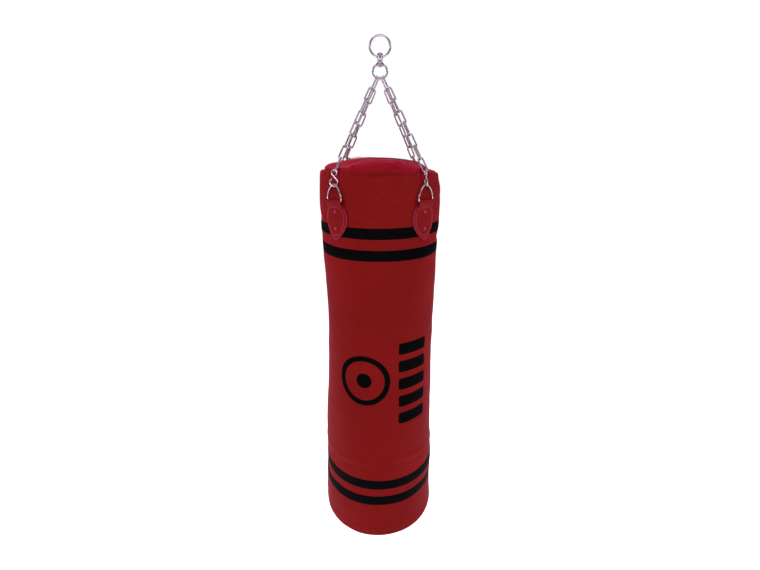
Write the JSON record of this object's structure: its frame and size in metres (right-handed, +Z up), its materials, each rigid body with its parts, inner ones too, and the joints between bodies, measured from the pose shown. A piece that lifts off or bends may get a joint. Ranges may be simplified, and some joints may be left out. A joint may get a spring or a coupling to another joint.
{
  "type": "heavy bag",
  "caption": "Filled vinyl heavy bag hung by chains, S-hooks and D-rings from a swivel and a ring, with riveted tabs, black bands and a zipped top.",
  "frame": {"origin": "seat under the crown of the hanger ring, where a hook bears", "axes": "+Z up along the bag's axis, +X to the right along the hanger ring's plane as seen from the front, +Y away to the back"},
  "size_m": [0.3054, 0.3054, 1.302],
  "materials": {
    "plated_steel": "bright zinc-plated steel wire, polished",
    "red_vinyl": "grained vinyl, satin",
    "red_trim": "grained vinyl over webbing, satin",
    "red_rivets": "enamelled, gloss",
    "black_vinyl": "smooth vinyl, satin",
    "red_tape": "woven tape with moulded teeth",
    "felt": "needled felt",
    "textile_filling": "packed textile clippings"
  },
  "bodies": {
    "hanger": {"hanger_ring": "plated_steel"},
    "swivel_upper": {"swivel_eye": "plated_steel", "swivel_rivet": "plated_steel", "swivel_washer": "plated_steel"},
    "swivel_lower": {"swivel_bell": "plated_steel"},
    "bag": {"lower_ring": "plated_steel", "shell_wall": "red_vinyl", "top_cover": "red_vinyl", "bottom_cover": "red_vinyl", "wall_padding": "felt", "filling": "textile_filling", "upper_bands": "black_vinyl", "lower_bands": "black_vinyl", "strap_tabs": "red_trim", "rivets": "red_rivets", "rivet_washers": "plated_steel", "zip_tape": "red_tape"},
    "link_front_left_1": {"link_front_left_1": "plated_steel"},
    "link_front_left_2": {"link_front_left_2": "plated_steel"},
    "link_front_left_3": {"link_front_left_3": "plated_steel"},
    "link_front_left_4": {"link_front_left_4": "plated_steel"},
    "link_front_left_5": {"link_front_left_5": "plated_steel"},
    "link_front_left_6": {"link_front_left_6": "plated_steel"},
    "link_front_left_7": {"link_front_left_7": "plated_steel"},
    "link_front_left_8": {"link_front_left_8": "plated_steel"},
    "s_hook_front_left": {"s_hook_front_left": "plated_steel"},
    "d_ring_front_left": {"d_ring_front_left": "plated_steel"},
    "link_front_right_1": {"link_front_right_1": "plated_steel"},
    "link_front_right_2": {"link_front_right_2": "plated_steel"},
    "link_front_right_3": {"link_front_right_3": "plated_steel"},
    "link_front_right_4": {"link_front_right_4": "plated_steel"},
    "link_front_right_5": {"link_front_right_5": "plated_steel"},
    "link_front_right_6": {"link_front_right_6": "plated_steel"},
    "link_front_right_7": {"link_front_right_7": "plated_steel"},
    "link_front_right_8": {"link_front_right_8": "plated_steel"},
    "s_hook_front_right": {"s_hook_front_right": "plated_steel"},
    "d_ring_front_right": {"d_ring_front_right": "plated_steel"},
    "link_rear_right_1": {"link_rear_right_1": "plated_steel"},
    "link_rear_right_2": {"link_rear_right_2": "plated_steel"},
    "link_rear_right_3": {"link_rear_right_3": "plated_steel"},
    "link_rear_right_4": {"link_rear_right_4": "plated_steel"},
    "link_rear_right_5": {"link_rear_right_5": "plated_steel"},
    "link_rear_right_6": {"link_rear_right_6": "plated_steel"},
    "link_rear_right_7": {"link_rear_right_7": "plated_steel"},
    "link_rear_right_8": {"link_rear_right_8": "plated_steel"},
    "s_hook_rear_right": {"s_hook_rear_right": "plated_steel"},
    "d_ring_rear_right": {"d_ring_rear_right": "plated_steel"},
    "link_rear_left_1": {"link_rear_left_1": "plated_steel"},
    "link_rear_left_2": {"link_rear_left_2": "plated_steel"},
    "link_rear_left_3": {"link_rear_left_3": "plated_steel"},
    "link_rear_left_4": {"link_rear_left_4": "plated_steel"},
    "link_rear_left_5": {"link_rear_left_5": "plated_steel"},
    "link_rear_left_6": {"link_rear_left_6": "plated_steel"},
    "link_rear_left_7": {"link_rear_left_7": "plated_steel"},
    "link_rear_left_8": {"link_rear_left_8": "plated_steel"},
    "s_hook_rear_left": {"s_hook_rear_left": "plated_steel"},
    "d_ring_rear_left": {"d_ring_rear_left": "plated_steel"},
    "zip_slider": {"zip_slider": "plated_steel"},
    "zip_pull": {"zip_pull": "plated_steel"}
  },
  "joints": [
    {"name": "eye_swing", "type": "hinge", "parent": "hanger", "child": "swivel_upper", "pos_m": [0, 0, -0.0475], "axis": [1, 0, 0], "range_deg": [-45, 45]},
    {"name": "swivel_spin", "type": "hinge", "parent": "swivel_upper", "child": "swivel_lower", "pos_m": [0, 0, -0.05498], "axis": [0, 0, 1], "continuous": true},
    {"name": "bag_swing", "type": "hinge", "parent": "swivel_lower", "child": "bag", "pos_m": [0, 0, -0.08025], "axis": [0, 1, 0], "range_deg": [-40, 40]},
    {"name": "twist_front_left_1", "type": "hinge", "parent": "bag", "child": "link_front_left_1", "pos_m": [-0.01458, -0.0058, -0.1073], "axis": [-0.362, -0.4056, -0.8393], "range_deg": [-3, 3]},
    {"name": "twist_front_left_2", "type": "hinge", "parent": "bag", "child": "link_front_left_2", "pos_m": [-0.02657, -0.01923, -0.13509], "axis": [-0.362, -0.4056, -0.8393], "range_deg": [-6, 6]},
    {"name": "twist_front_left_3", "type": "hinge", "parent": "bag", "child": "link_front_left_3", "pos_m": [-0.03855, -0.03266, -0.16288], "axis": [-0.362, -0.4056, -0.8393], "range_deg": [-6, 6]},
    {"name": "twist_front_left_4", "type": "hinge", "parent": "bag", "child": "link_front_left_4", "pos_m": [-0.05054, -0.04609, -0.19067], "axis": [-0.362, -0.4056, -0.8393], "range_deg": [-6, 6]},
    {"name": "twist_front_left_5", "type": "hinge", "parent": "bag", "child": "link_front_left_5", "pos_m": [-0.06253, -0.05952, -0.21845], "axis": [-0.362, -0.4056, -0.8393], "range_deg": [-6, 6]},
    {"name": "twist_front_left_6", "type": "hinge", "parent": "bag", "child": "link_front_left_6", "pos_m": [-0.07451, -0.07295, -0.24624], "axis": [-0.362, -0.4056, -0.8393], "range_deg": [-6, 6]},
    {"name": "twist_front_left_7", "type": "hinge", "parent": "bag", "child": "link_front_left_7", "pos_m": [-0.0865, -0.08638, -0.27403], "axis": [-0.362, -0.4056, -0.8393], "range_deg": [-6, 6]},
    {"name": "twist_front_left_8", "type": "hinge", "parent": "bag", "child": "link_front_left_8", "pos_m": [-0.09849, -0.09981, -0.30181], "axis": [-0.362, -0.4056, -0.8393], "range_deg": [-6, 6]},
    {"name": "s_hook_turn_front_left", "type": "hinge", "parent": "bag", "child": "s_hook_front_left", "pos_m": [-0.10773, -0.10773, -0.34212], "axis": [0.0493, 0.0493, 0.9976], "range_deg": [-3, 6]},
    {"name": "d_ring_tilt_front_left", "type": "hinge", "parent": "bag", "child": "d_ring_front_left", "pos_m": [-0.10819, -0.10819, -0.3865], "axis": [0.7071, -0.7071, 0], "range_deg": [-1.5, 0.7]},
    {"name": "twist_front_right_1", "type": "hinge", "parent": "bag", "child": "link_front_right_1", "pos_m": [0.01469, -0.00569, -0.10731], "axis": [0.3696, -0.3977, -0.8398], "range_deg": [-3, 3]},
    {"name": "twist_front_right_2", "type": "hinge", "parent": "bag", "child": "link_front_right_2", "pos_m": [0.02692, -0.01885, -0.13511], "axis": [0.3696, -0.3977, -0.8398], "range_deg": [-6, 6]},
    {"name": "twist_front_right_3", "type": "hinge", "parent": "bag", "child": "link_front_right_3", "pos_m": [0.03915, -0.03201, -0.1629], "axis": [0.3696, -0.3977, -0.8398], "range_deg": [-6, 6]},
    {"name": "twist_front_right_4", "type": "hinge", "parent": "bag", "child": "link_front_right_4", "pos_m": [0.05139, -0.04517, -0.1907], "axis": [0.3696, -0.3977, -0.8398], "range_deg": [-6, 6]},
    {"name": "twist_front_right_5", "type": "hinge", "parent": "bag", "child": "link_front_right_5", "pos_m": [0.06362, -0.05834, -0.21849], "axis": [0.3696, -0.3977, -0.8398], "range_deg": [-6, 6]},
    {"name": "twist_front_right_6", "type": "hinge", "parent": "bag", "child": "link_front_right_6", "pos_m": [0.07585, -0.0715, -0.24629], "axis": [0.3696, -0.3977, -0.8398], "range_deg": [-6, 6]},
    {"name": "twist_front_right_7", "type": "hinge", "parent": "bag", "child": "link_front_right_7", "pos_m": [0.08808, -0.08466, -0.27409], "axis": [0.3696, -0.3977, -0.8398], "range_deg": [-6, 6]},
    {"name": "twist_front_right_8", "type": "hinge", "parent": "bag", "child": "link_front_right_8", "pos_m": [0.10031, -0.09783, -0.30188], "axis": [0.3696, -0.3977, -0.8398], "range_deg": [-6, 6]},
    {"name": "s_hook_turn_front_right", "type": "hinge", "parent": "bag", "child": "s_hook_front_right", "pos_m": [0.10773, -0.10773, -0.34212], "axis": [-0.0493, 0.0493, 0.9976], "range_deg": [-3, 6]},
    {"name": "d_ring_tilt_front_right", "type": "hinge", "parent": "bag", "child": "d_ring_front_right", "pos_m": [0.10819, -0.10819, -0.3865], "axis": [0.7071, 0.7071, 0], "range_deg": [-1.5, 0.7]},
    {"name": "twist_rear_right_1", "type": "hinge", "parent": "bag", "child": "link_rear_right_1", "pos_m": [0.00974, 0.0058, -0.10935], "axis": [0.3811, 0.4054, -0.8309], "range_deg": [-3, 3]},
    {"name": "twist_rear_right_2", "type": "hinge", "parent": "bag", "child": "link_rear_right_2", "pos_m": [0.02236, 0.01922, -0.13688], "axis": [0.3811, 0.4054, -0.8309], "range_deg": [-6, 6]},
    {"name": "twist_rear_right_3", "type": "hinge", "parent": "bag", "child": "link_rear_right_3", "pos_m": [0.03499, 0.03265, -0.1644], "axis": [0.3811, 0.4054, -0.8309], "range_deg": [-6, 6]},
    {"name": "twist_rear_right_4", "type": "hinge", "parent": "bag", "child": "link_rear_right_4", "pos_m": [0.04761, 0.04608, -0.19192], "axis": [0.3811, 0.4054, -0.8309], "range_deg": [-6, 6]},
    {"name": "twist_rear_right_5", "type": "hinge", "parent": "bag", "child": "link_rear_right_5", "pos_m": [0.06023, 0.05951, -0.21944], "axis": [0.3811, 0.4054, -0.8309], "range_deg": [-6, 6]},
    {"name": "twist_rear_right_6", "type": "hinge", "parent": "bag", "child": "link_rear_right_6", "pos_m": [0.07285, 0.07293, -0.24696], "axis": [0.3811, 0.4054, -0.8309], "range_deg": [-6, 6]},
    {"name": "twist_rear_right_7", "type": "hinge", "parent": "bag", "child": "link_rear_right_7", "pos_m": [0.08547, 0.08636, -0.27448], "axis": [0.3811, 0.4054, -0.8309], "range_deg": [-6, 6]},
    {"name": "twist_rear_right_8", "type": "hinge", "parent": "bag", "child": "link_rear_right_8", "pos_m": [0.09809, 0.09979, -0.302], "axis": [0.3811, 0.4054, -0.8309], "range_deg": [-6, 6]},
    {"name": "s_hook_turn_rear_right", "type": "hinge", "parent": "bag", "child": "s_hook_rear_right", "pos_m": [0.10773, 0.10773, -0.34212], "axis": [-0.0493, -0.0493, 0.9976], "range_deg": [-3, 6]},
    {"name": "d_ring_tilt_rear_right", "type": "hinge", "parent": "bag", "child": "d_ring_rear_right", "pos_m": [0.10819, 0.10819, -0.3865], "axis": [-0.7071, 0.7071, 0], "range_deg": [-1.5, 0.7]},
    {"name": "twist_rear_left_1", "type": "hinge", "parent": "bag", "child": "link_rear_left_1", "pos_m": [-0.00986, 0.00568, -0.10936], "axis": [-0.3889, 0.3973, -0.8312], "range_deg": [-3, 3]},
    {"name": "twist_rear_left_2", "type": "hinge", "parent": "bag", "child": "link_rear_left_2", "pos_m": [-0.02274, 0.01884, -0.13688], "axis": [-0.3889, 0.3973, -0.8312], "range_deg": [-6, 6]},
    {"name": "twist_rear_left_3", "type": "hinge", "parent": "bag", "child": "link_rear_left_3", "pos_m": [-0.03562, 0.032, -0.16441], "axis": [-0.3889, 0.3973, -0.8312], "range_deg": [-6, 6]},
    {"name": "twist_rear_left_4", "type": "hinge", "parent": "bag", "child": "link_rear_left_4", "pos_m": [-0.0485, 0.04516, -0.19193], "axis": [-0.3889, 0.3973, -0.8312], "range_deg": [-6, 6]},
    {"name": "twist_rear_left_5", "type": "hinge", "parent": "bag", "child": "link_rear_left_5", "pos_m": [-0.06138, 0.05831, -0.21946], "axis": [-0.3889, 0.3973, -0.8312], "range_deg": [-6, 6]},
    {"name": "twist_rear_left_6", "type": "hinge", "parent": "bag", "child": "link_rear_left_6", "pos_m": [-0.07426, 0.07147, -0.24698], "axis": [-0.3889, 0.3973, -0.8312], "range_deg": [-6, 6]},
    {"name": "twist_rear_left_7", "type": "hinge", "parent": "bag", "child": "link_rear_left_7", "pos_m": [-0.08714, 0.08463, -0.27451], "axis": [-0.3889, 0.3973, -0.8312], "range_deg": [-6, 6]},
    {"name": "twist_rear_left_8", "type": "hinge", "parent": "bag", "child": "link_rear_left_8", "pos_m": [-0.10002, 0.09779, -0.30203], "axis": [-0.3889, 0.3973, -0.8312], "range_deg": [-6, 6]},
    {"name": "s_hook_turn_rear_left", "type": "hinge", "parent": "bag", "child": "s_hook_rear_left", "pos_m": [-0.10773, 0.10773, -0.34212], "axis": [0.0493, -0.0493, 0.9976], "range_deg": [-3, 6]},
    {"name": "d_ring_tilt_rear_left", "type": "hinge", "parent": "bag", "child": "d_ring_rear_left", "pos_m": [-0.10819, 0.10819, -0.3865], "axis": [-0.7071, -0.7071, 0], "range_deg": [-1.5, 0.7]},
    {"name": "zip_travel", "type": "hinge", "parent": "bag", "child": "zip_slider", "pos_m": [0, 0, -0.75495], "axis": [0, 1, 0], "range_deg": [0, 20]},
    {"name": "pull_flip", "type": "hinge", "parent": "zip_slider", "child": "zip_pull", "pos_m": [-0.08176, 0, -0.29125], "axis": [0, -1, 0], "range_deg": [0, 165]}
  ]
}
